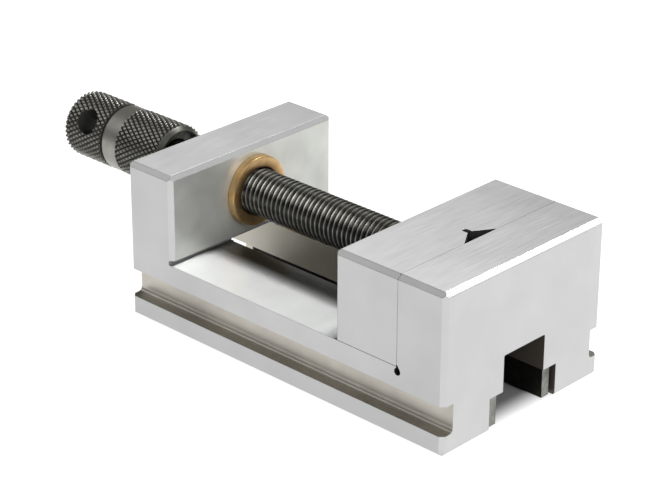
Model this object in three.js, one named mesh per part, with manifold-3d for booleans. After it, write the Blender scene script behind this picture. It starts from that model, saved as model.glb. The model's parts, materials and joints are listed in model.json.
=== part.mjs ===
// A small screw-type toolmaker's vise. Millimetres, +Z up, +X from the handle towards the fixed jaw.
// Inside the group X = 0 is the body's rear end; the group is moved so that the origin lies
// under the middle of the whole vise, handle included, on the plane it stands on.

import * as THREE from "three";
import { mergeVertices } from "three/addons/utils/BufferGeometryUtils.js";
import Module from "manifold-3d";

const wasm = await Module();
wasm.setup();

// ---------------------------------------------------------------- driving dimensions

const width = 60;
const bodyLength = 110.3;
const bedHeight = 19;
const jawHeight = 43.4;
const uprightHeight = 44;
const uprightLength = 16.5;
const jawRearX = 74.5;
const splitX = 95.25;
const edgeChamfer = 1.2;
const footChamfer = 0.5;
const slotChamfer = 0.35;

const slotWidth = 15.5;
const recessWidth = 25.4;
const recessHeight = 9;
const grooveBottom = 5.2;
const grooveTop = 13.2;
const grooveDepth = 3.75;
const grooveFillet = 1.5;
const footReliefRadius = 0.62;
const footReliefDepth = 1.5;
const footReliefLip = 0.8;
const footReliefSink = 0.12;
const jawReliefRadius = 1;
const jawReliefDrop = 1.3;
const slotFillet = 0.5;

const veeWidth = 12;
const veeDepth = 4;
const veeReliefWidth = 1.5;
const veeReliefDepth = 5.6;

const screwAxisHeight = 31.6;
const screwRadius = 6.25;
const handleRadius = 9.4;
const handleRearX = -51;
const handleFrontX = -12;
const tommyX = -41.8;
const tommyRadius = 3.7;
const tommyTilt = THREE.MathUtils.degToRad(33);

const slidingGap = 0.08;
const fixedGap = 0.3;
const roundSegments = 48;
const smallSegments = 24;

const halfWidth = width / 2;
const halfSlot = slotWidth / 2;
const screwAxis = [0, screwAxisHeight];

// ---------------------------------------------------------------- solids from three.js shapes

const AXES = {
  x: new THREE.Vector3(1, 0, 0),
  y: new THREE.Vector3(0, 1, 0),
  z: new THREE.Vector3(0, 0, 1),
};

function solidOf(geometry) {
  const bare = geometry.clone();
  bare.deleteAttribute("normal");
  bare.deleteAttribute("uv");
  const welded = mergeVertices(bare, 1e-4);
  const corners = welded.index.array;
  const kept = [];
  for (let i = 0; i < corners.length; i += 3) {
    const [a, b, c] = [corners[i], corners[i + 1], corners[i + 2]];
    if (a !== b && b !== c && c !== a) kept.push(a, b, c);
  }
  const mesh = new wasm.Mesh({
    numProp: 3,
    vertProperties: welded.attributes.position.array,
    triVerts: new Uint32Array(kept),
  });
  return new wasm.Manifold(mesh);
}

function geometryOf(solid) {
  const mesh = solid.getMesh();
  const geometry = new THREE.BufferGeometry();
  geometry.setAttribute("position", new THREE.BufferAttribute(mesh.vertProperties, 3));
  geometry.setIndex(new THREE.BufferAttribute(mesh.triVerts, 1));
  geometry.computeVertexNormals();
  return geometry;
}

// A prism whose outline lies in the plane across the axis:
// (y, z) for axis x, (x, z) for axis y and (x, y) for axis z.
function prism(axis, shape, from, to) {
  const geometry = new THREE.ExtrudeGeometry(shape, {
    depth: to - from,
    bevelEnabled: false,
    curveSegments: 6,
  });
  if (axis === "x") {
    geometry.translate(0, 0, from);
    geometry.applyMatrix4(new THREE.Matrix4().makeBasis(AXES.y, AXES.z, AXES.x));
  } else if (axis === "y") {
    geometry.rotateX(Math.PI / 2);
    geometry.translate(0, to, 0);
  } else {
    geometry.translate(0, 0, from);
  }
  return solidOf(geometry);
}

function polygon(points) {
  return new THREE.Shape(points.map(([u, v]) => new THREE.Vector2(u, v)));
}

function box(x0, x1, y0, y1, z0, z1) {
  const geometry = new THREE.BoxGeometry(x1 - x0, y1 - y0, z1 - z0);
  geometry.translate((x0 + x1) / 2, (y0 + y1) / 2, (z0 + z1) / 2);
  return solidOf(geometry);
}

// A round rod along an axis; the centre gives the two other coordinates in x, y, z order.
function rod(axis, radius, centre, from, to, segments = smallSegments) {
  const geometry = new THREE.CylinderGeometry(radius, radius, to - from, segments);
  const middle = (from + to) / 2;
  if (axis === "x") {
    geometry.rotateZ(-Math.PI / 2);
    geometry.translate(middle, centre[0], centre[1]);
  } else if (axis === "y") {
    geometry.translate(centre[0], middle, centre[1]);
  } else {
    geometry.rotateX(Math.PI / 2);
    geometry.translate(centre[0], centre[1], middle);
  }
  return solidOf(geometry);
}

// A turned piece on the screw's axis; the profile is (radius, x) from the rear to the front.
function turned(profile, segments = roundSegments) {
  const points = profile.map(([radius, x]) => new THREE.Vector2(radius, x));
  const geometry = new THREE.LatheGeometry(points, segments);
  geometry.rotateZ(-Math.PI / 2);
  geometry.translate(0, 0, screwAxisHeight);
  return solidOf(geometry);
}

// A square rod standing on its corner along an edge: taking it away leaves a 45 degree chamfer.
function chamferTool(axis, size, centre, from, to) {
  const [u, v] = centre;
  const outline = polygon([[u - size, v], [u, v - size], [u + size, v], [u, v + size]]);
  return prism(axis, outline, from, to);
}

function hexSocket(acrossFlats, centre, from, to) {
  const corner = acrossFlats / Math.sqrt(3);
  return rod("z", corner, centre, from, to, 6);
}

function cut(solid, tools) {
  return tools.reduce((rest, tool) => rest.subtract(tool), solid);
}

// ---------------------------------------------------------------- the body and what is fixed in it

const nutFlangeRadius = 9.65;
const nutFlangeLength = 2.2;
const nutBarrelRadius = 7.9;
const nutBoreRadius = screwRadius + 0.35;
const nutChamfer = 0.4;
const nutMouthChamfer = 0.6;
const nutRearX = 0.4;
const nutScrewX = 8;
const nutScrewRadius = 2;
const nutScrewSink = 0.2;

const railInner = halfSlot + 1.1;
const railThickness = 2.8;
const railMiddle = railInner + railThickness / 2;
const railRearX = 6.6;
const railFrontX = bodyLength - 1.1;
const railBottom = 0.2;
const railTop = recessHeight - slidingGap;
const dowelRadius = 0.75;
const dowelHoleRadius = 0.95;
const dowelBottom = 6;
const dowelTop = 12;
const dowelEndGap = 0.2;
const dowelXs = [18, 58, 98];

const SIDES = { near: -1, far: 1 };

// A round-ended undercut into the foot of the upright, so that square work seats fully.
// It also sinks a shallow step into the bed in front of the upright.
function footRelief() {
  const bottom = bedHeight - footReliefSink;
  const endX = uprightLength - footReliefDepth + footReliefRadius;
  const frontX = uprightLength + footReliefLip;
  const middle = bottom + footReliefRadius;
  const quarter = Math.PI / 2;
  const shape = new THREE.Shape();
  shape.moveTo(frontX, bottom);
  shape.lineTo(frontX, bottom + 2 * footReliefRadius);
  shape.absarc(endX, middle, footReliefRadius, quarter, 3 * quarter);
  shape.closePath();
  return prism("y", shape, -halfWidth - 1, halfWidth + 1);
}

// A keyhole under the face of the fixed jaw: a neck at the corner that leads down to a round hole.
function jawRelief() {
  const centreX = splitX + 0.2;
  const middle = bedHeight - jawReliefDrop;
  const neckTop = bedHeight + 0.6;
  const leftAngle = THREE.MathUtils.degToRad(110);
  const rightAngle = THREE.MathUtils.degToRad(400);
  const leftX = centreX + jawReliefRadius * Math.cos(leftAngle);
  const shape = new THREE.Shape();
  shape.moveTo(splitX + 0.05, neckTop);
  shape.lineTo(leftX, neckTop);
  shape.absarc(centreX, middle, jawReliefRadius, leftAngle, rightAngle);
  shape.closePath();
  return prism("y", shape, -halfWidth - 1, halfWidth + 1);
}

// The slot along the body, with small fillets where it runs under the upright and the fixed jaw.
function slot() {
  const y = halfSlot;
  const top = bedHeight;
  const shape = new THREE.Shape();
  shape.moveTo(-y, 1);
  shape.lineTo(y, 1);
  shape.lineTo(y, top - slotFillet);
  shape.quadraticCurveTo(y, top, y - slotFillet, top);
  shape.lineTo(slotFillet - y, top);
  shape.quadraticCurveTo(-y, top, -y, top - slotFillet);
  shape.closePath();
  return prism("x", shape, -1, bodyLength + 1);
}

function sideGroove(side) {
  const innerY = side * (halfWidth - grooveDepth);
  const outerY = side * (halfWidth + 1);
  const filletY = innerY + side * grooveFillet;
  const shape = new THREE.Shape();
  shape.moveTo(outerY, grooveBottom);
  shape.lineTo(filletY, grooveBottom);
  shape.quadraticCurveTo(innerY, grooveBottom, innerY, grooveBottom + grooveFillet);
  shape.lineTo(innerY, grooveTop);
  shape.lineTo(outerY, grooveTop);
  shape.closePath();
  return prism("x", shape, -1, bodyLength + 1);
}

function bodyChamfers() {
  const size = edgeChamfer;
  const tools = [];
  for (const side of Object.values(SIDES)) {
    const y = side * halfWidth;
    tools.push(chamferTool("x", footChamfer, [y, 0], -1, bodyLength + 1));
    tools.push(chamferTool("x", size, [y, uprightHeight], -1, uprightLength + 1));
    tools.push(chamferTool("x", slotChamfer, [side * halfSlot, bedHeight], uprightLength, splitX));
    tools.push(chamferTool("x", size, [y, jawHeight], splitX - 1, bodyLength + 1));
    tools.push(chamferTool("z", size, [0, y], -1, uprightHeight + 1));
    tools.push(chamferTool("z", size, [uprightLength, y], bedHeight, uprightHeight + 1));
    tools.push(chamferTool("z", size, [bodyLength, y], -1, jawHeight + 1));
  }
  for (const x of [0, bodyLength]) {
    tools.push(chamferTool("y", footChamfer, [x, 0], -halfWidth - 1, halfWidth + 1));
  }
  const across = [
    [0, uprightHeight],
    [uprightLength, uprightHeight],
    [bodyLength, jawHeight],
  ];
  for (const edge of across) {
    tools.push(chamferTool("y", size, edge, -halfWidth - 1, halfWidth + 1));
  }
  return tools;
}

function dowelHoles(side, from, to) {
  return dowelXs.map((x) => rod("z", dowelHoleRadius, [x, side * railMiddle], from, to));
}

function viseBody() {
  const y = halfWidth;
  const base = box(0, bodyLength, -y, y, 0, bedHeight);
  const upright = box(0, uprightLength, -y, y, 1, uprightHeight);
  const fixedJaw = box(splitX, bodyLength, -y, y, 1, jawHeight);
  const whole = base.add(upright).add(fixedJaw);
  return cut(whole, [
    box(-1, bodyLength + 1, -recessWidth / 2, recessWidth / 2, -1, recessHeight),
    slot(),
    box(uprightLength, splitX, -halfSlot, halfSlot, 1, bedHeight + 1),
    footRelief(),
    jawRelief(),
    sideGroove(SIDES.near),
    sideGroove(SIDES.far),
    rod("x", nutBarrelRadius + fixedGap, screwAxis, -1, uprightLength + 1, roundSegments),
    rod("z", nutScrewRadius + fixedGap, [nutScrewX, 0], bedHeight - 1, screwAxisHeight),
    ...dowelHoles(SIDES.near, 1, dowelTop + dowelEndGap),
    ...dowelHoles(SIDES.far, 1, dowelTop + dowelEndGap),
    ...bodyChamfers(),
  ]);
}

function flangedNut() {
  const flangeRear = uprightLength + slidingGap;
  const flangeFront = flangeRear + nutFlangeLength;
  const mouthRadius = nutBoreRadius + nutMouthChamfer;
  return turned([
    [mouthRadius, nutRearX],
    [nutBarrelRadius - nutMouthChamfer, nutRearX],
    [nutBarrelRadius, nutRearX + nutMouthChamfer],
    [nutBarrelRadius, flangeRear],
    [nutFlangeRadius, flangeRear],
    [nutFlangeRadius, flangeFront - nutChamfer],
    [nutFlangeRadius - nutChamfer, flangeFront],
    [mouthRadius, flangeFront],
    [nutBoreRadius, flangeFront - nutMouthChamfer],
    [nutBoreRadius, nutRearX + nutMouthChamfer],
    [mouthRadius, nutRearX],
  ]);
}

function nutSetScrew() {
  const foot = bedHeight + nutScrewSink;
  const tip = screwAxisHeight - nutBarrelRadius - fixedGap;
  const screw = rod("z", nutScrewRadius, [nutScrewX, 0], foot, tip);
  return screw.subtract(hexSocket(2, [nutScrewX, 0], foot - 1, foot + 2));
}

function guideRail(side) {
  const inner = side * railInner;
  const outer = side * (railInner + railThickness);
  const [y0, y1] = [Math.min(inner, outer), Math.max(inner, outer)];
  const strip = box(railRearX, railFrontX, y0, y1, railBottom, railTop);
  return cut(strip, dowelHoles(side, dowelBottom - dowelEndGap, recessHeight + 1));
}

function railDowel(side, x) {
  return rod("z", dowelRadius, [x, side * railMiddle], dowelBottom, dowelTop);
}

// ---------------------------------------------------------------- the moving jaw and its keeper

const jawFrontX = splitX - slidingGap;
const jawBottom = bedHeight + slidingGap;
const tongueRearX = jawRearX + 0.5;
const tongueFrontX = 89.2;
const tongueBottom = recessHeight + 0.25;
const halfTongue = halfSlot - 0.1;

const pinX = 80.5;
const pinRadius = 1.5;
const pinOffset = 4.4;
const pinGap = 0.2;
const pinEndGap = 0.4;
const pinBottom = tongueBottom + pinEndGap;
const pinTop = 37;

const noseRadius = 4.75;
const noseGap = 0.35;
const noseEndX = 83.5;
const noseGrooveRadius = 2.7;
const noseGrooveHalfLength = 1.7;
const padThickness = 1.6;
const jawBoreEndX = noseEndX + padThickness + 0.4;

const keeperRearX = 72.2;
const keeperFrontX = 92.2;
const keeperBottom = 1.8;
const keeperTop = recessHeight - slidingGap;
const halfKeeper = railInner - 0.25;
const keeperScrewXs = { rear: 78.3, front: 86.1 };
const keeperScrewRadius = 2;
const keeperScrewTop = 17.5;
const keeperHeadRadius = 3.5;
const keeperHeadBottom = 2.1;
const keeperHeadTop = 6.1;
const washerBottom = 6.25;
const washerTop = 6.95;
const keeperSeat = 7.05;
const keeperChamfer = 0.5;
const keeperSocketFlats = 3;
const keeperSocketDepth = 2.2;

function veeGroove() {
  const front = splitX + 1;
  const apex = jawFrontX - veeDepth;
  const slope = veeWidth / 2 / veeDepth;
  const mouth = (front - apex) * slope;
  const vee = prism("z", polygon([[apex, 0], [front, -mouth], [front, mouth]]), 0, jawHeight + 1);
  const reliefRear = jawFrontX - veeReliefDepth + veeReliefWidth / 2;
  const relief = box(reliefRear, front, -veeReliefWidth / 2, veeReliefWidth / 2, 0, jawHeight + 1);
  const roundEnd = rod("z", veeReliefWidth / 2, [reliefRear, 0], 0, jawHeight + 1);
  return vee.add(relief).add(roundEnd);
}

function jawEdgeChamfers() {
  const y = halfWidth;
  const size = edgeChamfer;
  const alongSides = Object.values(SIDES).flatMap((side) => [
    chamferTool("x", size, [side * y, jawHeight], jawRearX - 1, splitX + 1),
    chamferTool("z", size, [jawRearX, side * y], jawBottom - 1, jawHeight + 1),
  ]);
  return [
    ...alongSides,
    chamferTool("y", size, [jawRearX, jawHeight], -y - 1, y + 1),
    chamferTool("y", size / 6, [jawFrontX, jawBottom], -y - 1, y + 1),
  ];
}

function jawHolesFromBelow() {
  const pinHoles = Object.values(SIDES).map((side) =>
    rod("z", pinRadius + pinGap, [pinX, side * pinOffset], 0, pinTop + pinEndGap));
  const screwHoles = Object.values(keeperScrewXs).map((x) =>
    rod("z", keeperScrewRadius + fixedGap, [x, 0], 0, keeperScrewTop + 1));
  return [...pinHoles, ...screwHoles];
}

function movingJaw() {
  const block = box(jawRearX, jawFrontX, -halfWidth, halfWidth, jawBottom, jawHeight);
  const tongue = box(tongueRearX, tongueFrontX, -halfTongue, halfTongue, tongueBottom, bedHeight + 2);
  const screwBore = rod("x", noseRadius + noseGap, screwAxis, jawRearX - 1, jawBoreEndX, roundSegments);
  const shaped = cut(block, [veeGroove(), screwBore, ...jawEdgeChamfers()]);
  return cut(shaped.add(tongue), jawHolesFromBelow());
}

function keeperPlate() {
  const plate = box(keeperRearX, keeperFrontX, -halfKeeper, halfKeeper, keeperBottom, keeperTop);
  const holes = Object.values(keeperScrewXs).flatMap((x) => [
    rod("z", keeperHeadRadius + fixedGap, [x, 0], 0, keeperSeat),
    rod("z", keeperScrewRadius + fixedGap, [x, 0], 0, recessHeight + 1),
  ]);
  return cut(plate, [
    ...holes,
    chamferTool("y", keeperChamfer, [keeperRearX, keeperBottom], -halfWidth, halfWidth),
    chamferTool("y", keeperChamfer, [keeperFrontX, keeperBottom], -halfWidth, halfWidth),
  ]);
}

function keeperScrew(x) {
  const head = rod("z", keeperHeadRadius, [x, 0], keeperHeadBottom, keeperHeadTop);
  const shank = rod("z", keeperScrewRadius, [x, 0], keeperHeadTop - 1, keeperScrewTop);
  const socket = hexSocket(keeperSocketFlats, [x, 0], 0, keeperHeadBottom + keeperSocketDepth);
  return head.add(shank).subtract(socket);
}

function keeperWasher(x) {
  const disc = rod("z", keeperHeadRadius, [x, 0], washerBottom, washerTop);
  return disc.subtract(rod("z", keeperScrewRadius + 0.2, [x, 0], 0, washerTop + 1));
}

function retainingPin(side) {
  return rod("z", pinRadius, [pinX, side * pinOffset], pinBottom, pinTop);
}

function thrustPad() {
  const rear = noseEndX + 0.2;
  return rod("x", noseRadius - 0.1, screwAxis, rear, rear + padThickness, roundSegments);
}

// ---------------------------------------------------------------- the screw and its handle

const tailRadius = 5;
const tailEndX = -35.5;
const threadRearX = -9.5;
const threadFrontX = 73.9;
const bandRearX = -34.3;
const bandFrontX = -28.8;
const bandGroove = 0.5;
const handlePinX = -31.5;
const handlePinRadius = 1;
const handlePinInner = 1.5;
const handlePinOuter = handleRadius - 0.5;
const threadChamfer = 0.8;
const noseChamfer = 0.5;
const handleRounding = 2.2;
const handleFrontChamfer = 1.2;
const handleRecessRadius = 7.9;
const handleRecessDepth = 2;
const bandGrooveLength = 0.8;
const bandInset = 0.15;

// A rod square to the screw's axis, at an angle from +Y towards +Z.
function radialRod(radius, x, angle, from, to) {
  const geometry = new THREE.CylinderGeometry(radius, radius, to - from, smallSegments);
  geometry.translate(0, (from + to) / 2, 0);
  geometry.rotateX(angle);
  geometry.translate(x, 0, screwAxisHeight);
  return solidOf(geometry);
}

const tommyAngle = Math.PI - tommyTilt;
const handlePinAngle = -Math.PI / 3;

function leadScrew() {
  const grooveRear = pinX - noseGrooveHalfLength;
  const grooveFront = pinX + noseGrooveHalfLength;
  const screw = turned([
    [0, tailEndX],
    [tailRadius, tailEndX],
    [tailRadius, threadRearX],
    [screwRadius - threadChamfer, threadRearX],
    [screwRadius, threadRearX + threadChamfer],
    [screwRadius, threadFrontX - threadChamfer],
    [screwRadius - threadChamfer, threadFrontX],
    [noseRadius, threadFrontX],
    [noseRadius, grooveRear],
    [noseGrooveRadius, grooveRear],
    [noseGrooveRadius, grooveFront],
    [noseRadius, grooveFront],
    [noseRadius, noseEndX - noseChamfer],
    [noseRadius - noseChamfer, noseEndX],
    [0, noseEndX],
  ]);
  return screw.subtract(radialRod(handlePinRadius + pinGap, handlePinX, handlePinAngle, handlePinInner - pinGap, handlePinOuter));
}

// A quarter circle from the rear face to the side of the handle, as (radius, x).
function handleRearEdge(steps) {
  const points = [];
  for (let step = 0; step <= steps; step += 1) {
    const angle = (step / steps) * Math.PI / 2;
    const radius = handleRadius - handleRounding * (1 - Math.sin(angle));
    points.push([radius, handleRearX + handleRounding * (1 - Math.cos(angle))]);
  }
  return points;
}

function knurledHandle() {
  const boreRadius = tailRadius + fixedGap;
  const boreEndX = tailEndX - fixedGap;
  const grooveRearX = bandRearX - bandGrooveLength;
  const handle = turned([
    [0, handleRearX],
    ...handleRearEdge(4),
    [handleRadius, grooveRearX],
    [handleRadius - bandGroove, grooveRearX],
    [handleRadius - bandGroove, bandRearX],
    [handleRadius - bandInset, bandRearX],
    [handleRadius - bandInset, bandFrontX],
    [handleRadius, bandFrontX],
    [handleRadius, handleFrontX - handleFrontChamfer],
    [handleRadius - handleFrontChamfer, handleFrontX],
    [handleRecessRadius, handleFrontX],
    [handleRecessRadius, handleFrontX - handleRecessDepth],
    [boreRadius, handleFrontX - handleRecessDepth],
    [boreRadius, boreEndX],
    [0, boreEndX],
  ]);
  return cut(handle, [
    radialRod(tommyRadius, tommyX, tommyAngle, -handleRadius - 1, handleRadius + 1),
    radialRod(handlePinRadius + pinGap, handlePinX, handlePinAngle, handlePinInner, handleRadius + 1),
  ]);
}

function handlePin() {
  return radialRod(handlePinRadius, handlePinX, handlePinAngle, handlePinInner, handlePinOuter);
}

// ---------------------------------------------------------------- assembly

const FINISHES = {
  groundSteel: { color: 0xc9cacc, roughness: 0.28, metalness: 1 },
  blackOxide: { color: 0x2b2c28, roughness: 0.45, metalness: 0.8 },
  brass: { color: 0xc9963f, roughness: 0.3, metalness: 1 },
  hardenedPin: { color: 0x8f9194, roughness: 0.35, metalness: 1 },
};

const vise = new THREE.Group();

function place(name, finish, solid) {
  const material = new THREE.MeshStandardMaterial(FINISHES[finish]);
  const mesh = new THREE.Mesh(geometryOf(solid), material);
  mesh.name = name;
  vise.add(mesh);
}

place("vise_body", "groundSteel", viseBody());
place("flanged_nut", "brass", flangedNut());
place("nut_set_screw", "blackOxide", nutSetScrew());
for (const [sideName, side] of Object.entries(SIDES)) {
  place(`guide_rail_${sideName}`, "blackOxide", guideRail(side));
  dowelXs.forEach((x, index) => {
    place(`rail_dowel_${sideName}_${index + 1}`, "hardenedPin", railDowel(side, x));
  });
  place(`retaining_pin_${sideName}`, "hardenedPin", retainingPin(side));
}
place("moving_jaw", "groundSteel", movingJaw());
place("keeper_plate", "blackOxide", keeperPlate());
for (const [end, x] of Object.entries(keeperScrewXs)) {
  place(`keeper_screw_${end}`, "blackOxide", keeperScrew(x));
  place(`keeper_washer_${end}`, "hardenedPin", keeperWasher(x));
}
place("thrust_pad", "hardenedPin", thrustPad());
place("lead_screw", "blackOxide", leadScrew());
place("knurled_handle", "blackOxide", knurledHandle());
place("handle_pin", "hardenedPin", handlePin());

vise.position.x = -(bodyLength + handleRearX) / 2;

export default vise;
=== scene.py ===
"""Looks of a small toolmaker's screw vise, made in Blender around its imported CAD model.

Lengths are metres in the CAD frame: +X from the handle to the fixed jaw, +Z up.
"""

import json
import math

import bmesh
import bpy
from mathutils import Matrix, Vector


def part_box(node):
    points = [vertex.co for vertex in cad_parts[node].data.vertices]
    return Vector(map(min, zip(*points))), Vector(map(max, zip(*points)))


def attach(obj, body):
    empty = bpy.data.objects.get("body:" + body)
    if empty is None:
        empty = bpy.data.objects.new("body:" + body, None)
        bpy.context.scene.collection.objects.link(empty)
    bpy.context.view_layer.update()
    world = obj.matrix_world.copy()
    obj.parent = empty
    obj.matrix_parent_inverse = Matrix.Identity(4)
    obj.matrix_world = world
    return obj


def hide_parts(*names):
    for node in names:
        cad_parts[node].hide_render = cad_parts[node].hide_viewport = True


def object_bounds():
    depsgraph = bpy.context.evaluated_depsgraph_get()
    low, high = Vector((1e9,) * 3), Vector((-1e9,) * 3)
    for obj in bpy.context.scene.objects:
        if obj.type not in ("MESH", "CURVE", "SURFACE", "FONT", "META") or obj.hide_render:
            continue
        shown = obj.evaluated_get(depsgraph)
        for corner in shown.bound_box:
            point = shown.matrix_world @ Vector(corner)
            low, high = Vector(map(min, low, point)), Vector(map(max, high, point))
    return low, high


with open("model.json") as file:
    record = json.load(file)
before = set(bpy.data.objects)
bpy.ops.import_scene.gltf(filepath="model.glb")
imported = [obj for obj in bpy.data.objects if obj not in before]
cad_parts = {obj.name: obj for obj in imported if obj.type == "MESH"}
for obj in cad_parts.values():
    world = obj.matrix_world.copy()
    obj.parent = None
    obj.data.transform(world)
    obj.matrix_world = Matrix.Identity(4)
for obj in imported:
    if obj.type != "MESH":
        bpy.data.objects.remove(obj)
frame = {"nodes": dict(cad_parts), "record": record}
CAD_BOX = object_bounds()
MM = 0.001

# ---------------------------------------------------------------- places taken from the frame

BODY_LOW, BODY_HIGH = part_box("vise_body")
JAW_LOW, JAW_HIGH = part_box("moving_jaw")
SCREW_LOW, SCREW_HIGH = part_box("lead_screw")
HANDLE_LOW, HANDLE_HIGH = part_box("knurled_handle")
NUT_LOW, NUT_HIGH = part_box("flanged_nut")
AXIS_Z = (SCREW_LOW.z + SCREW_HIGH.z) / 2
CENTRE = (CAD_BOX[0] + CAD_BOX[1]) / 2

# ---------------------------------------------------------------- sizes of what only Blender shows

THREAD_PITCH = 1.5875 * MM
THREAD_RADIUS = (SCREW_HIGH.z - SCREW_LOW.z) / 2
THREAD_DEPTH = 0.9 * MM
THREAD_SIDES = 64
HANDLE_RADIUS = (HANDLE_HIGH.z - HANDLE_LOW.z) / 2
KNURL_COUNT = 40
KNURL_PITCH = 2.4 * MM
KNURL_DEPTH = 0.65 * MM
KNURL_STEPS = 8
HANDLE_CHAMFER = 1.2 * MM
HANDLE_PIN_ANGLE = -math.pi / 3
TOMMY_RADIUS = 3.7 * MM
TOMMY_TILT = math.radians(33)
TURNED_SIDES = 96
TOOL_SIDES = 48
SMOOTH_ANGLE = math.radians(30)
BLOCK_EDGE = 0.06 * MM
STRIP_EDGE = 0.15 * MM
SMALL_EDGE = 0.08 * MM

# ---------------------------------------------------------------- where the body's faces are

GROOVE_Y = (26 * MM, 29.9 * MM)
GROOVE_Z = (5 * MM, 13.5 * MM)
SLOT_REACH = 12.8 * MM
SLOT_EDGE_Z = 18.8 * MM
SLOT_EDGE_SIZE = 0.15 * MM
SLOT_TOP = 18.9 * MM
BED_Z = 19 * MM
UPRIGHT_LENGTH = 16.5 * MM
UPRIGHT_EDGE_END = 18 * MM
SAME_PLANE = 0.2 * MM
MATING_REACH = 0.3 * MM

# Parts of a face's normal: above SQUARE the face looks along that axis, from SLOPED to STEEP it is a chamfer.
SLOPED = 0.6
STEEP = 0.8
SQUARE = 0.9

# ---------------------------------------------------------------- numbers of the materials

CLOUD_SCALE = 70.0
CLOUD_DETAIL = 3.0
GRAIN_SCALE = 5200.0
GRAIN_STRETCH = 0.02
GRAIN_HEIGHT = 0.004 * MM
NOISE_LOW = 0.3
NOISE_HIGH = 0.7
# Colour of the thread crests and knurl tips: partly wear, partly painted highlight.
WEAR_AND_HIGHLIGHT_COLOUR = (0.42, 0.41, 0.37)
# Colour of the painted shade on the nut near the screw.
NUT_SHADE_COLOUR = (0.1, 0.05, 0.02)
# Colour of the painted shade in the slot, towards the fixed jaw.
SLOT_SHADE_COLOUR = (0.09, 0.08, 0.065)


# ---------------------------------------------------------------- materials

def new_material(name):
    material = bpy.data.materials.new(name)
    material.use_nodes = True
    shader = material.node_tree.nodes["Principled BSDF"]
    return material, material.node_tree, shader


def noise(tree, coords, scale, detail=2.0):
    """A noise over object coordinates; scale is a number, or one number per axis."""
    stretch = tree.nodes.new("ShaderNodeMapping")
    stretch.inputs["Scale"].default_value = scale if isinstance(scale, tuple) else (scale,) * 3
    texture = tree.nodes.new("ShaderNodeTexNoise")
    texture.inputs["Scale"].default_value = 1.0
    texture.inputs["Detail"].default_value = detail
    tree.links.new(coords.outputs["Object"], stretch.inputs["Vector"])
    tree.links.new(stretch.outputs["Vector"], texture.inputs["Vector"])
    return texture.outputs["Fac"]


def blended(tree, factor, first, second):
    """A colour between first and second, by factor; each is three numbers or another node's output."""
    mix = tree.nodes.new("ShaderNodeMix")
    mix.data_type = "RGBA"
    for side, colour in (("A", first), ("B", second)):
        if isinstance(colour, bpy.types.NodeSocket):
            tree.links.new(colour, mix.inputs[side])
        else:
            mix.inputs[side].default_value = (*colour, 1)
    tree.links.new(factor, mix.inputs["Factor"])
    return mix.outputs["Result"]


def mapped(tree, value, start, end, low=0.0, high=1.0, interpolation="LINEAR"):
    """Low up to start, high from end on, and between them in between."""
    spread = tree.nodes.new("ShaderNodeMapRange")
    spread.interpolation_type = interpolation
    spread.inputs["From Min"].default_value = start
    spread.inputs["From Max"].default_value = end
    spread.inputs["To Min"].default_value = low
    spread.inputs["To Max"].default_value = high
    tree.links.new(value, spread.inputs["Value"])
    return spread.outputs["Result"]


def ranged(tree, factor, low=0.0, high=1.0):
    """A noise, which runs about from NOISE_LOW to NOISE_HIGH, spread from low to high."""
    return mapped(tree, factor, NOISE_LOW, NOISE_HIGH, low, high)


def bumped(tree, shader, height, distance, strength):
    bump = tree.nodes.new("ShaderNodeBump")
    bump.inputs["Strength"].default_value = strength
    bump.inputs["Distance"].default_value = distance
    tree.links.new(height, bump.inputs["Height"])
    tree.links.new(bump.outputs["Normal"], shader.inputs["Normal"])


def steel(name, grind_axis, base, roughness, tint=(1, 1, 1), lines=0.5, cloud=0.04, metallic=1.0,
          spread=None, spreading=0.8):
    """Steel with fine lines along grind_axis and a faint cloudiness.

    lines is the strength of the lines and cloud that of the cloudiness. spread is the direction square to
    the lines in which they spread a reflection, and spreading says how strongly. A low metallic is duller.
    """
    material, tree, shader = new_material(name)
    shader.inputs["Metallic"].default_value = metallic
    coords = tree.nodes.new("ShaderNodeTexCoord")
    along = GRAIN_SCALE * GRAIN_STRETCH
    grain = noise(tree, coords, tuple(along if axis == grind_axis else GRAIN_SCALE for axis in "xyz"))
    clouds = noise(tree, coords, CLOUD_SCALE, CLOUD_DETAIL)
    low = [base * (1 - cloud) * c for c in tint]
    high = [base * (1 + cloud) * c for c in tint]
    tree.links.new(blended(tree, ranged(tree, clouds), low, high), shader.inputs["Base Color"])
    tree.links.new(ranged(tree, grain, roughness * 0.94, roughness * 1.06), shader.inputs["Roughness"])
    bumped(tree, shader, grain, GRAIN_HEIGHT, lines)
    if spread:
        shader.inputs["Anisotropic"].default_value = spreading
        tangent = tree.nodes.new("ShaderNodeCombineXYZ")
        for axis, share in zip("XYZ", spread):
            tangent.inputs[axis].default_value = share
        tree.links.new(tangent.outputs["Vector"], shader.inputs["Tangent"])
    return material


def axis_distance(tree, coords):
    """Distance from the screw's axis, in millimetres."""
    centred = tree.nodes.new("ShaderNodeVectorMath")
    centred.operation = "MULTIPLY_ADD"
    centred.inputs[1].default_value = (0, 1 / MM, 1 / MM)
    centred.inputs[2].default_value = (0, 0, -AXIS_Z / MM)
    length = tree.nodes.new("ShaderNodeVectorMath")
    length.operation = "LENGTH"
    tree.links.new(coords.outputs["Object"], centred.inputs[0])
    tree.links.new(centred.outputs["Vector"], length.inputs[0])
    return length.outputs["Value"]


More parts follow.
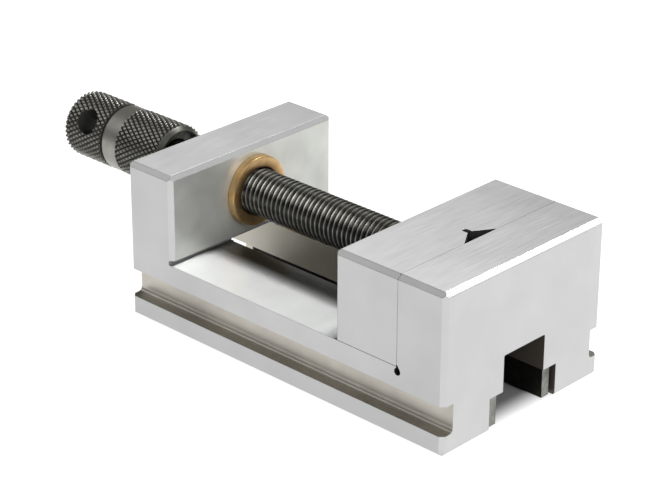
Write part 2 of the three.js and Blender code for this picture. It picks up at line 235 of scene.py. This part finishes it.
def black_oxide(name, base, roughness, wear_and_highlight_radius=None, metallic=1.0):
    """Blackened steel: a dark satin skin, a little uneven. A low metallic makes it duller.

    Towards wear_and_highlight_radius, (start, end) in millimetres from the screw's axis, the skin is lighter:
    partly rubbed bright, partly a painted highlight.
    """
    material, tree, shader = new_material(name)
    shader.inputs["Metallic"].default_value = metallic
    coords = tree.nodes.new("ShaderNodeTexCoord")
    mottle = noise(tree, coords, 420.0, 6.0)
    low = [c * 0.7 for c in base]
    high = [c * 1.35 for c in base]
    skin = blended(tree, ranged(tree, mottle), low, high)
    if wear_and_highlight_radius:
        # lighter crests and tips: partly wear, partly painted highlight
        wear_and_highlight = mapped(tree, axis_distance(tree, coords), *wear_and_highlight_radius)
        skin = blended(tree, wear_and_highlight, skin, WEAR_AND_HIGHLIGHT_COLOUR)
    tree.links.new(skin, shader.inputs["Base Color"])
    tree.links.new(ranged(tree, mottle, roughness * 1.2, roughness * 0.8), shader.inputs["Roughness"])
    return material


def turned_brass(name):
    """Brass turned bright, slightly tarnished in patches, and darkened near the screw by painted shade."""
    material, tree, shader = new_material(name)
    shader.inputs["Metallic"].default_value = 0.85
    coords = tree.nodes.new("ShaderNodeTexCoord")
    mottle = noise(tree, coords, 260.0, 4.0)
    brass = blended(tree, ranged(tree, mottle), (0.62, 0.37, 0.15), (0.80, 0.56, 0.27))
    shade_to = THREAD_RADIUS / MM + 0.6
    unshaded_from = THREAD_RADIUS / MM + 3.4
    # painted shade: the brass darkens towards the screw
    unshaded = mapped(tree, axis_distance(tree, coords), shade_to, unshaded_from, 0.05)
    tree.links.new(blended(tree, unshaded, NUT_SHADE_COLOUR, brass), shader.inputs["Base Color"])
    tree.links.new(ranged(tree, mottle, 0.44, 0.32), shader.inputs["Roughness"])
    return material


def slot_steel(name):
    """Milled steel of the slot, plain as far as the moving jaw and darkened from there to the fixed jaw by
    painted shade.
    """
    material, tree, shader = new_material(name)
    shader.inputs["Metallic"].default_value = 0.4
    coords = tree.nodes.new("ShaderNodeTexCoord")
    clouds = noise(tree, coords, CLOUD_SCALE, CLOUD_DETAIL)
    unshaded_steel = blended(tree, ranged(tree, clouds), (0.66, 0.63, 0.55), (0.78, 0.74, 0.65))
    apart = tree.nodes.new("ShaderNodeSeparateXYZ")
    tree.links.new(coords.outputs["Object"], apart.inputs["Vector"])
    # painted shade: the slot darkens across the moving jaw and stays dark up to the fixed jaw
    painted_slot_shade = mapped(tree, apart.outputs["X"], JAW_LOW.x, JAW_HIGH.x)
    tree.links.new(blended(tree, painted_slot_shade, unshaded_steel, SLOT_SHADE_COLOUR), shader.inputs["Base Color"])
    tree.links.new(ranged(tree, clouds, 0.4, 0.34), shader.inputs["Roughness"])
    return material


# These copies of ground steel differ in grind direction, roughness and spread, which is the finish, and in
# base colour by which way the face looks, the sides darkest and the upright face lightest, which is painted
# light and shade.
GROUND_SIDE = steel("ground_steel", "x", 0.45, 0.32, lines=0.3)
GROUND_END = steel("ground_steel_ends", "y", 0.50, 0.32, lines=0.3)
GROUND_TOP = steel("ground_steel_top", "y", 0.585, 0.42, lines=0.05, spread=(1, 0, 0))
BED = steel(
    "ground_steel_bed", "y", 0.57, 0.34,
    tint=(0.985, 1, 0.99), lines=0.05, spread=(1, 0, 0), spreading=0.95)
UPRIGHT_FACE = steel(
    "ground_steel_upright", "y", 0.635, 0.36,
    tint=(0.985, 1, 0.94), cloud=0.16, metallic=0.45)
MILLED = steel("milled_groove", "x", 0.5, 0.42, tint=(1, 0.95, 0.85), cloud=0.12)
MILLED_SLOT = slot_steel("milled_slot")
OXIDE = black_oxide("black_oxide", (0.13, 0.13, 0.11), 0.32)
OXIDE_THREAD = black_oxide(
    "black_oxide_thread", (0.045, 0.045, 0.04), 0.3, wear_and_highlight_radius=(5.95, 6.25))
OXIDE_KNURL = black_oxide(
    "black_oxide_knurl", (0.09, 0.09, 0.078), 0.36, wear_and_highlight_radius=(8.95, 9.45), metallic=0.6)
# painted shade on the faces of the strips and keeper, painted light on their ends
OXIDE_PAINTED_SHADE = black_oxide("black_oxide_flat_painted_shade", (0.02, 0.02, 0.018), 0.5)
OXIDE_PAINTED_LIGHT = black_oxide("black_oxide_ends_painted_light", (0.2, 0.2, 0.18), 0.45, metallic=0.6)
BRASS = turned_brass("brass")
PIN = steel("hardened_pin", "z", 0.5, 0.3)
# the chamfer along the top edge of the slot, near white: painted highlight
SLOT_EDGE_HIGHLIGHT = steel("ground_steel_slot_edge_highlight", "x", 0.95, 0.25, lines=0.1)
# the fixed jaw's front top chamfer, lighter than the other steel: painted highlight
FRONT_EDGE_HIGHLIGHT = steel("ground_steel_front_edge_highlight", "y", 0.8, 0.3, lines=0.1)
DULL_EDGE = steel("ground_steel_dull_edge", "y", 0.4, 0.6, lines=0.2, metallic=0.5)
SLOT_MATERIALS = {
    "ground_steel": GROUND_SIDE,
    "black_oxide": OXIDE,
    "brass": BRASS,
    "hardened_pin": PIN,
}
NODE_SLOTS = {part["node"]: part["material_slot"] for part in frame["record"]["subparts"]}
NODE_BODIES = {
    node: body
    for body, nodes in frame["record"]["behaviour"]["bodies"].items()
    for node in nodes
}


# ---------------------------------------------------------------- mesh helpers

def new_piece(name, bm, node, finish=None):
    """A mesh object that stands for a CAD node, rides on its body and wears its slot's material.

    finish gives the material of a face from its centre and normal.
    """
    bmesh.ops.recalc_face_normals(bm, faces=bm.faces)
    materials = []
    for face in bm.faces:
        material = finish(face) if finish else SLOT_MATERIALS[NODE_SLOTS[node]]
        if material not in materials:
            materials.append(material)
        face.material_index = materials.index(material)
    mesh = bpy.data.meshes.new(name)
    bm.to_mesh(mesh)
    bm.free()
    mesh.shade_smooth()
    mesh.set_sharp_from_angle(angle=SMOOTH_ANGLE)
    piece = bpy.data.objects.new(name, mesh)
    bpy.context.scene.collection.objects.link(piece)
    for material in materials:
        mesh.materials.append(material)
    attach(piece, NODE_BODIES[node])
    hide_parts(node)
    return piece


def block_finish(face):
    """The finish of a face of the body or of the jaw, from where it is and which way it faces."""
    centre, normal = face.calc_center_median(), face.normal
    in_slot = abs(centre.y) < SLOT_REACH
    if GROOVE_Y[0] < abs(centre.y) < GROOVE_Y[1] and GROOVE_Z[0] < centre.z < GROOVE_Z[1]:
        return MILLED
    # painted highlight on the chamfer along the slot's top edge
    if in_slot and abs(centre.z - SLOT_EDGE_Z) < SLOT_EDGE_SIZE and SLOPED < normal.z < STEEP:
        return SLOT_EDGE_HIGHLIGHT
    if in_slot and centre.z < SLOT_TOP and abs(normal.x) < SQUARE:
        return MILLED_SLOT
    if normal.z > SLOPED and normal.x > SLOPED and centre.x < BODY_LOW.x + UPRIGHT_EDGE_END:
        return DULL_EDGE
    # painted highlight on the fixed jaw's front top chamfer
    if normal.z > SLOPED and SLOPED < normal.x < STEEP and centre.x > JAW_HIGH.x:
        return FRONT_EDGE_HIGHLIGHT
    if normal.z > SQUARE and abs(centre.z - BED_Z) < SAME_PLANE:
        return BED
    if normal.x > SQUARE and abs(centre.x - BODY_LOW.x - UPRIGHT_LENGTH) < SAME_PLANE:
        return UPRIGHT_FACE
    if normal.z > SQUARE:
        return GROUND_TOP
    if abs(normal.x) > SLOPED:
        return GROUND_END
    return GROUND_SIDE


def strip_finish(face):
    """The strips and the keeper: near black on their faces as painted shade, paler on their ends as painted
    light.
    """
    return OXIDE_PAINTED_LIGHT if abs(face.normal.x) > SQUARE else OXIDE_PAINTED_SHADE


def where_jaws_meet(line):
    """Whether an edge is the top edge where the two jaws meet, which stays sharp."""
    return all(
        abs(vertex.co.x - JAW_HIGH.x) < MATING_REACH and vertex.co.z > JAW_HIGH.z - MATING_REACH
        for vertex in line.verts
    )


def refined(node, edge, finish=None):
    """The CAD node's own shape with its flat faces merged and its corners softened by edge."""
    merge_distance = 0.002 * MM
    coplanar_angle = math.radians(1)
    corner_angle = math.radians(25)
    bm = bmesh.new()
    bm.from_mesh(frame["nodes"][node].data)
    bmesh.ops.remove_doubles(bm, verts=bm.verts, dist=merge_distance)
    bmesh.ops.dissolve_limit(bm, angle_limit=coplanar_angle, verts=bm.verts, edges=bm.edges)
    weight = bm.edges.layers.float.new("bevel_weight_edge")
    for line in bm.edges:
        stays = where_jaws_meet(line) or line.calc_face_angle(0) < corner_angle
        line[weight] = 0.0 if stays else 1.0
    piece = new_piece(node + "_fine", bm, node, finish=finish)
    bevel = piece.modifiers.new("edges", "BEVEL")
    bevel.width = edge
    bevel.segments = 2
    bevel.limit_method = "WEIGHT"
    bevel.use_clamp_overlap = False
    weighted = piece.modifiers.new("flat faces", "WEIGHTED_NORMAL")
    weighted.keep_sharp = True


def add_rows(bm, rows):
    """Closed rings of vertices joined by quads; rows is a list of rings of points."""
    rings = [[bm.verts.new(point) for point in row] for row in rows]
    for ring, following in zip(rings, rings[1:]):
        count = len(ring)
        for i in range(count):
            j = (i + 1) % count
            bm.faces.new((ring[i], ring[j], following[j], following[i]))
    return rings


def ring_of(x, radius_at, sides):
    """Points round the screw's axis at x; radius_at gives the radius of each column."""
    points = []
    for j in range(sides):
        angle = 2 * math.pi * j / sides
        radius = radius_at(j)
        points.append((x, radius * math.cos(angle), AXIS_Z + radius * math.sin(angle)))
    return points


def ring_points(x, radius, sides):
    return ring_of(x, lambda j: radius, sides)


def turned(profile, sides):
    """A solid of revolution on the screw's axis; the profile is (x, radius) from end to end."""
    bm = bmesh.new()
    rings = add_rows(bm, [ring_points(x, radius, sides) for x, radius in profile])
    bm.faces.new(rings[0])
    bm.faces.new(rings[-1])
    bmesh.ops.recalc_face_normals(bm, faces=bm.faces)
    return bm


def object_of(bm, name):
    mesh = bpy.data.meshes.new(name)
    bm.to_mesh(mesh)
    bm.free()
    obj = bpy.data.objects.new(name, mesh)
    bpy.context.scene.collection.objects.link(obj)
    return obj


def boolean(base, tool, operation):
    """Applies one exact boolean to base and deletes the tool."""
    modifier = base.modifiers.new(operation, "BOOLEAN")
    modifier.operation = operation
    modifier.solver = "EXACT"
    modifier.object = tool
    graph = bpy.context.evaluated_depsgraph_get()
    mesh = bpy.data.meshes.new_from_object(base.evaluated_get(graph))
    base.modifiers.remove(modifier)
    old = base.data
    base.data = mesh
    bpy.data.meshes.remove(old)
    bpy.data.objects.remove(tool)


def piece_from_object(obj, node, finish):
    """The finished object, cleaned of doubled points, as the piece of a node."""
    tolerance = 0.001 * MM
    bm = bmesh.new()
    bm.from_mesh(obj.data)
    bpy.data.objects.remove(obj)
    bmesh.ops.remove_doubles(bm, verts=bm.verts, dist=tolerance)
    bmesh.ops.dissolve_degenerate(bm, edges=bm.edges, dist=tolerance)
    new_piece(node + "_fine", bm, node, finish)


# ---------------------------------------------------------------- the screw

def thread_profile():
    """(share of the pitch, share of the depth below the crest) over one turn."""
    crest = [(0.0, 0.0), (0.07, 0.0), (0.1, 0.08)]
    root = [(0.4, 0.93), (0.46, 1.0), (0.6, 1.0), (0.66, 0.93)]
    return crest + root + [(0.97, 0.08)]


def threaded_rod(x_from, x_to):
    """A right-hand helical thread, cut off square at both ends."""
    merge_distance = 0.0005 * MM
    on_plane = 1e-7
    bm = bmesh.new()
    profile = thread_profile()
    turns = int((x_to - x_from) / THREAD_PITCH) + 3
    columns = []
    for i in range(THREAD_SIDES + 1):
        angle = 2 * math.pi * i / THREAD_SIDES
        column = []
        for turn in range(turns):
            for along, depth in profile:
                x = x_from + (turn - 1 + along + i / THREAD_SIDES) * THREAD_PITCH
                radius = THREAD_RADIUS - depth * THREAD_DEPTH
                y = -radius * math.sin(angle)
                z = AXIS_Z + radius * math.cos(angle)
                column.append(bm.verts.new((x, y, z)))
        columns.append(column)
    for left, right in zip(columns, columns[1:]):
        for k in range(len(left) - 1):
            bm.faces.new((left[k], left[k + 1], right[k + 1], right[k]))
    bmesh.ops.remove_doubles(bm, verts=bm.verts, dist=merge_distance)
    for x, normal in ((x_from, 1), (x_to, -1)):
        everything = bm.verts[:] + bm.edges[:] + bm.faces[:]
        bmesh.ops.bisect_plane(
            bm, geom=everything, plane_co=(x, 0, 0), plane_no=(normal, 0, 0), clear_inner=True)
        rim = [
            edge for edge in bm.edges
            if edge.is_boundary and all(abs(vertex.co.x - x) < on_plane for vertex in edge.verts)
        ]
        bmesh.ops.contextual_create(bm, geom=rim)
    bmesh.ops.recalc_face_normals(bm, faces=bm.faces)
    return bm


def make_lead_screw():
    """The threaded rod with its chamfered ends, and the plain tail and necked nose of the screw."""
    chamfer = 0.9 * MM
    tail_radius = 5 * MM
    nose_radius = 4.75 * MM
    neck_radius = 2.7 * MM
    half_neck = 1.7 * MM
    overlap = 1.5 * MM
    beyond = 1 * MM
    thread_rear = SCREW_LOW.x + 26 * MM
    thread_front = SCREW_HIGH.x - 9.6 * MM
    neck_x = SCREW_HIGH.x - 3 * MM
    shell_end = THREAD_RADIUS - THREAD_DEPTH - 0.1 * MM
    shell_radius = THREAD_RADIUS + 0.05 * MM
    core_radius = tail_radius - 0.4 * MM
    screw = object_of(threaded_rod(thread_rear, thread_front), "screw")
    shell = turned([
        (thread_rear - beyond, shell_end),
        (thread_rear, shell_end),
        (thread_rear + chamfer, shell_radius),
        (thread_front - chamfer, shell_radius),
        (thread_front, shell_end),
        (thread_front + beyond, shell_end),
    ], TURNED_SIDES)
    boolean(screw, object_of(shell, "shell"), "INTERSECT")
    plain = turned([
        (SCREW_LOW.x, tail_radius - 0.3 * MM),
        (SCREW_LOW.x + 0.3 * MM, tail_radius),
        (thread_rear + overlap, tail_radius),
        (thread_rear + overlap, core_radius),
        (thread_front - overlap, core_radius),
        (thread_front - overlap, nose_radius),
        (neck_x - half_neck, nose_radius),
        (neck_x - half_neck, neck_radius),
        (neck_x + half_neck, neck_radius),
        (neck_x + half_neck, nose_radius),
        (SCREW_HIGH.x - 0.5 * MM, nose_radius),
        (SCREW_HIGH.x, nose_radius - 0.5 * MM),
    ], TURNED_SIDES)
    boolean(screw, object_of(plain, "plain"), "UNION")
    piece_from_object(screw, "lead_screw", lambda face: OXIDE_THREAD)


# ---------------------------------------------------------------- the handle

def knurl_height(i, j):
    """Height of the knurl at a grid point, from 0 in a groove to 1 on a flattened point."""
    half = KNURL_STEPS // 2
    flat = 0.75

    def ridge(k):
        k %= KNURL_STEPS
        return min(k, KNURL_STEPS - k) / half

    return min(ridge(i + j), ridge(i - j), flat) / flat


def knurl_rows(x_from, x_to):
    """(x, number of the row) pairs over a knurled length."""
    step = KNURL_PITCH / KNURL_STEPS
    count = int((x_to - x_from) / step)
    return [(x_from + i * (x_to - x_from) / count, i) for i in range(count + 1)]


def handle_envelope(x):
    """Outer radius of the handle at x, before the knurl is pressed in."""
    rounding = 2.2 * MM
    from_rear = x - HANDLE_LOW.x
    from_front = HANDLE_HIGH.x - x
    if from_rear < rounding:
        return HANDLE_RADIUS - rounding + math.sqrt(max(rounding ** 2 - (rounding - from_rear) ** 2, 0))
    if from_front < HANDLE_CHAMFER:
        return HANDLE_RADIUS - (HANDLE_CHAMFER - from_front)
    return HANDLE_RADIUS


def make_handle():
    """The knurled handle with its plain band, front recess, bore, cross hole and pin hole."""
    sides = KNURL_COUNT * KNURL_STEPS
    band_rear = HANDLE_LOW.x + 16.7 * MM
    band_front = HANDLE_LOW.x + 22.2 * MM
    band_radius = HANDLE_RADIUS - 0.15 * MM
    groove_rear = band_rear - 0.8 * MM
    groove_radius = HANDLE_RADIUS - 0.75 * MM
    front_edge = HANDLE_HIGH.x - HANDLE_CHAMFER
    recess_radius = 7.9 * MM
    recess_end = HANDLE_HIGH.x - 2 * MM
    bore_radius = 5.3 * MM
    bore_end = SCREW_LOW.x - 0.3 * MM
    wall = 0.02 * MM
    lip = 0.15 * MM
    bm = bmesh.new()

    def plain(x, radius):
        return ring_of(x, lambda j: radius, sides), None

    def knurled(x, i):
        outer = handle_envelope(x)
        return ring_of(x, lambda j: outer - KNURL_DEPTH * (1 - knurl_height(i, j)), sides), i

    rows = [plain(HANDLE_LOW.x, HANDLE_RADIUS - 2.4 * MM)]
    rows += [knurled(x, i) for x, i in knurl_rows(HANDLE_LOW.x + 0.05 * MM, groove_rear)]
    rows += [
        plain(groove_rear + wall, groove_radius),
        plain(band_rear - wall, groove_radius),
        plain(band_rear, HANDLE_RADIUS - 0.35 * MM),
        plain(band_rear + 0.25 * MM, band_radius),
        plain(band_front - wall, band_radius),
    ]
    rows += [knurled(x, i) for x, i in knurl_rows(band_front, front_edge)]
    rows += [
        plain(front_edge + wall, HANDLE_RADIUS - 0.3 * MM),
        plain(HANDLE_HIGH.x - lip, recess_radius + 0.4 * MM),
        plain(HANDLE_HIGH.x, recess_radius + 0.25 * MM),
        plain(HANDLE_HIGH.x, recess_radius + 0.15 * MM),
        plain(HANDLE_HIGH.x - lip, recess_radius),
        plain(recess_end, recess_radius),
        plain(recess_end, bore_radius),
        plain(bore_end, bore_radius),
    ]
    rings = [[bm.verts.new(point) for point in row] for row, _ in rows]
    for n in range(len(rings) - 1):
        i = rows[n][1]
        both_knurled = i is not None and rows[n + 1][1] is not None
        low, high = rings[n], rings[n + 1]
        for j in range(sides):
            k = (j + 1) % sides
            corners = (low[j], low[k], high[k], high[j])
            if not both_knurled:
                bm.faces.new(corners)
            elif (i + j + 1) % (KNURL_STEPS // 2) == 0:
                bm.faces.new((low[j], low[k], high[j]))
                bm.faces.new((low[k], high[k], high[j]))
            else:
                bm.faces.new((low[j], low[k], high[k]))
                bm.faces.new((low[j], high[k], high[j]))
    bm.faces.new(rings[0])
    bm.faces.new(rings[-1])
    bmesh.ops.recalc_face_normals(bm, faces=bm.faces)
    handle = object_of(bm, "handle")
    boolean(handle, tommy_tool(), "DIFFERENCE")
    boolean(handle, pin_hole_tool(), "DIFFERENCE")
    piece_from_object(handle, "knurled_handle", lambda face: OXIDE_KNURL)


def radial_tool(name, profile, x, angle):
    """A turned tool laid square to the screw's axis; angle runs from +Y towards +Z."""
    tool = object_of(turned(profile, TOOL_SIDES), name)
    tool.data.transform(Matrix.Translation((0, 0, -AXIS_Z)))
    turn = Matrix.Rotation(angle, 4, "X") @ Matrix.Rotation(math.pi / 2, 4, "Z")
    tool.data.transform(Matrix.Translation((x, 0, AXIS_Z)) @ turn)
    return tool


def tommy_tool():
    """The cross hole for a tommy bar, its edges barely broken."""
    reach = HANDLE_RADIUS + 1 * MM
    edge = HANDLE_RADIUS - 0.5 * MM
    mouth_radius = TOMMY_RADIUS + 0.3 * MM
    tommy_x = HANDLE_LOW.x + 9.2 * MM
    profile = [(-reach, mouth_radius), (-edge, TOMMY_RADIUS), (edge, TOMMY_RADIUS), (reach, mouth_radius)]
    return radial_tool("tommy", profile, tommy_x, -TOMMY_TILT)


def pin_hole_tool():
    """The hole of the handle's cross pin, on the underside."""
    hole_radius = 1.2 * MM
    pin_x = HANDLE_LOW.x + 19.5 * MM
    profile = [(1.5 * MM, hole_radius), (HANDLE_RADIUS + 1 * MM, hole_radius)]
    return radial_tool("pin_hole", profile, pin_x, HANDLE_PIN_ANGLE)


# ---------------------------------------------------------------- the nut

def make_nut():
    """The flanged nut with a plain bore; the screw hides where its thread would be."""
    bore = THREAD_RADIUS + 0.12 * MM
    barrel = 7.9 * MM
    flange = (NUT_HIGH.z - NUT_LOW.z) / 2
    flange_rear = NUT_HIGH.x - 2.2 * MM
    profile = [
        (NUT_LOW.x, bore + 0.6 * MM),
        (NUT_LOW.x, barrel - 0.5 * MM),
        (NUT_LOW.x + 0.5 * MM, barrel),
        (flange_rear, barrel),
        (flange_rear, flange - 0.15 * MM),
        (flange_rear + 0.15 * MM, flange),
        (NUT_HIGH.x - 0.45 * MM, flange),
        (NUT_HIGH.x - 0.15 * MM, flange - 0.15 * MM),
        (NUT_HIGH.x, flange - 0.45 * MM),
        (NUT_HIGH.x, bore + 0.5 * MM),
        (NUT_HIGH.x - 0.5 * MM, bore),
        (NUT_LOW.x + 0.6 * MM, bore),
    ]
    bm = bmesh.new()
    rings = add_rows(bm, [ring_points(x, radius, TURNED_SIDES) for x, radius in profile])
    for j in range(TURNED_SIDES):
        k = (j + 1) % TURNED_SIDES
        bm.faces.new((rings[-1][j], rings[-1][k], rings[0][k], rings[0][j]))
    new_piece("flanged_nut_fine", bm, "flanged_nut")


# ---------------------------------------------------------------- stage, light and camera

def make_floor():
    """A pale floor that glows, so that it stays white, but not under the vise, where the missing glow is a
    painted shadow.
    """
    floor_z = BODY_LOW.z - 0.05 * MM
    deep_under = -20 * MM
    bpy.ops.mesh.primitive_plane_add(size=4, location=(CENTRE.x, 0, floor_z))
    floor = bpy.context.object
    floor.name = "floor"
    material, tree, shader = new_material("floor")
    shader.inputs["Base Color"].default_value = (0.35, 0.35, 0.35, 1)
    shader.inputs["Roughness"].default_value = 0.9
    shader.inputs["Emission Color"].default_value = (1, 1, 1, 1)
    middle = (BODY_LOW + BODY_HIGH) / 2
    half = (BODY_HIGH - BODY_LOW) / 2
    coords = tree.nodes.new("ShaderNodeTexCoord")
    place = tree.nodes.new("ShaderNodeVectorMath")
    place.operation = "ADD"
    place.inputs[1].default_value = (CENTRE.x - middle.x, 0, 0)
    unsigned = tree.nodes.new("ShaderNodeVectorMath")
    unsigned.operation = "ABSOLUTE"
    beyond = tree.nodes.new("ShaderNodeVectorMath")
    beyond.operation = "SUBTRACT"
    beyond.inputs[1].default_value = (half.x, half.y, 0)
    outside = tree.nodes.new("ShaderNodeVectorMath")
    outside.operation = "MAXIMUM"
    outside.inputs[1].default_value = (deep_under, deep_under, 0)
    apart = tree.nodes.new("ShaderNodeSeparateXYZ")
    nearest = tree.nodes.new("ShaderNodeMath")
    nearest.operation = "MAXIMUM"
    # painted shadow: the glow fades out under the vise
    glow_with_painted_shadow = mapped(tree, nearest.outputs["Value"], -8 * MM, 2 * MM, interpolation="SMOOTHSTEP")
    link = tree.links.new
    link(coords.outputs["Object"], place.inputs[0])
    link(place.outputs["Vector"], unsigned.inputs[0])
    link(unsigned.outputs["Vector"], beyond.inputs[0])
    link(beyond.outputs["Vector"], outside.inputs[0])
    link(outside.outputs["Vector"], apart.inputs["Vector"])
    link(apart.outputs["X"], nearest.inputs[0])
    link(apart.outputs["Y"], nearest.inputs[1])
    link(glow_with_painted_shadow, shader.inputs["Emission Strength"])
    floor.data.materials.append(material)


def area_light(name, direction, distance, size, radiance):
    """A soft box that faces the object from a direction; size and distance are in metres."""
    data = bpy.data.lights.new(name, "AREA")
    data.shape = "RECTANGLE"
    data.size, data.size_y = size
    data.energy = radiance * math.pi * size[0] * size[1]
    light = bpy.data.objects.new(name, data)
    towards = Vector(direction).normalized()
    light.location = CENTRE + towards * distance
    light.rotation_mode = "QUATERNION"
    light.rotation_quaternion = (-towards).to_track_quat("-Z", "Y")
    bpy.context.scene.collection.objects.link(light)


def make_light():
    """A dim white world and five soft boxes."""
    world = bpy.data.worlds.new("studio")
    bpy.context.scene.world = world
    world.use_nodes = True
    background = world.node_tree.nodes["Background"]
    background.inputs["Color"].default_value = (1, 1, 1, 1)
    background.inputs["Strength"].default_value = 0.08
    area_light("key_box", (0.1, 0.55, 0.83), 1.2, (0.28, 0.28), 32.0)
    area_light("back_box", (0.5, 0.66, 0.52), 0.6, (0.3, 0.2), 1.5)
    area_light("front_box", (0.85, -0.1, 0.52), 0.7, (0.4, 0.3), 4.0)
    area_light("fill_box", (-0.62, -0.43, 0.65), 0.7, (0.5, 0.4), 1.0)
    area_light("overhead_box", (0.2, -0.35, 0.9), 0.9, (0.7, 0.7), 0.8)
    bpy.context.scene.view_settings.view_transform = "Standard"


def make_camera():
    data = bpy.data.cameras.new("camera")
    data.sensor_width = 36.0
    data.lens = 130.37
    camera = bpy.data.objects.new("camera", data)
    bpy.context.scene.collection.objects.link(camera)
    azimuth = math.radians(43.75)
    elevation = math.radians(25.56)
    roll = math.radians(0.15)
    forward = Vector((
        -math.sin(azimuth) * math.cos(elevation),
        math.cos(azimuth) * math.cos(elevation),
        -math.sin(elevation),
    ))
    camera.location = (0.39651, -0.40052, 0.28738)
    camera.rotation_mode = "QUATERNION"
    upright = forward.to_track_quat("-Z", "Y")
    camera.rotation_quaternion = upright @ Matrix.Rotation(roll, 3, "Z").to_quaternion()
    data.clip_start, data.clip_end = 0.01, 10
    bpy.context.scene.camera = camera


make_camera()
make_light()
make_floor()
refined("vise_body", BLOCK_EDGE, finish=block_finish)
refined("moving_jaw", BLOCK_EDGE, finish=block_finish)
make_lead_screw()
make_handle()
make_nut()
for node in ("guide_rail_near", "guide_rail_far", "keeper_plate"):
    refined(node, STRIP_EDGE, finish=strip_finish)
SMALL_PARTS = (
    "nut_set_screw", "keeper_screw_rear", "keeper_screw_front", "keeper_washer_rear", "keeper_washer_front",
    "retaining_pin_near", "retaining_pin_far", "thrust_pad", "handle_pin",
)
for node in SMALL_PARTS:
    refined(node, SMALL_EDGE)
for node, obj in frame["nodes"].items():
    for slot in obj.material_slots:
        slot.material = SLOT_MATERIALS[NODE_SLOTS[node]]
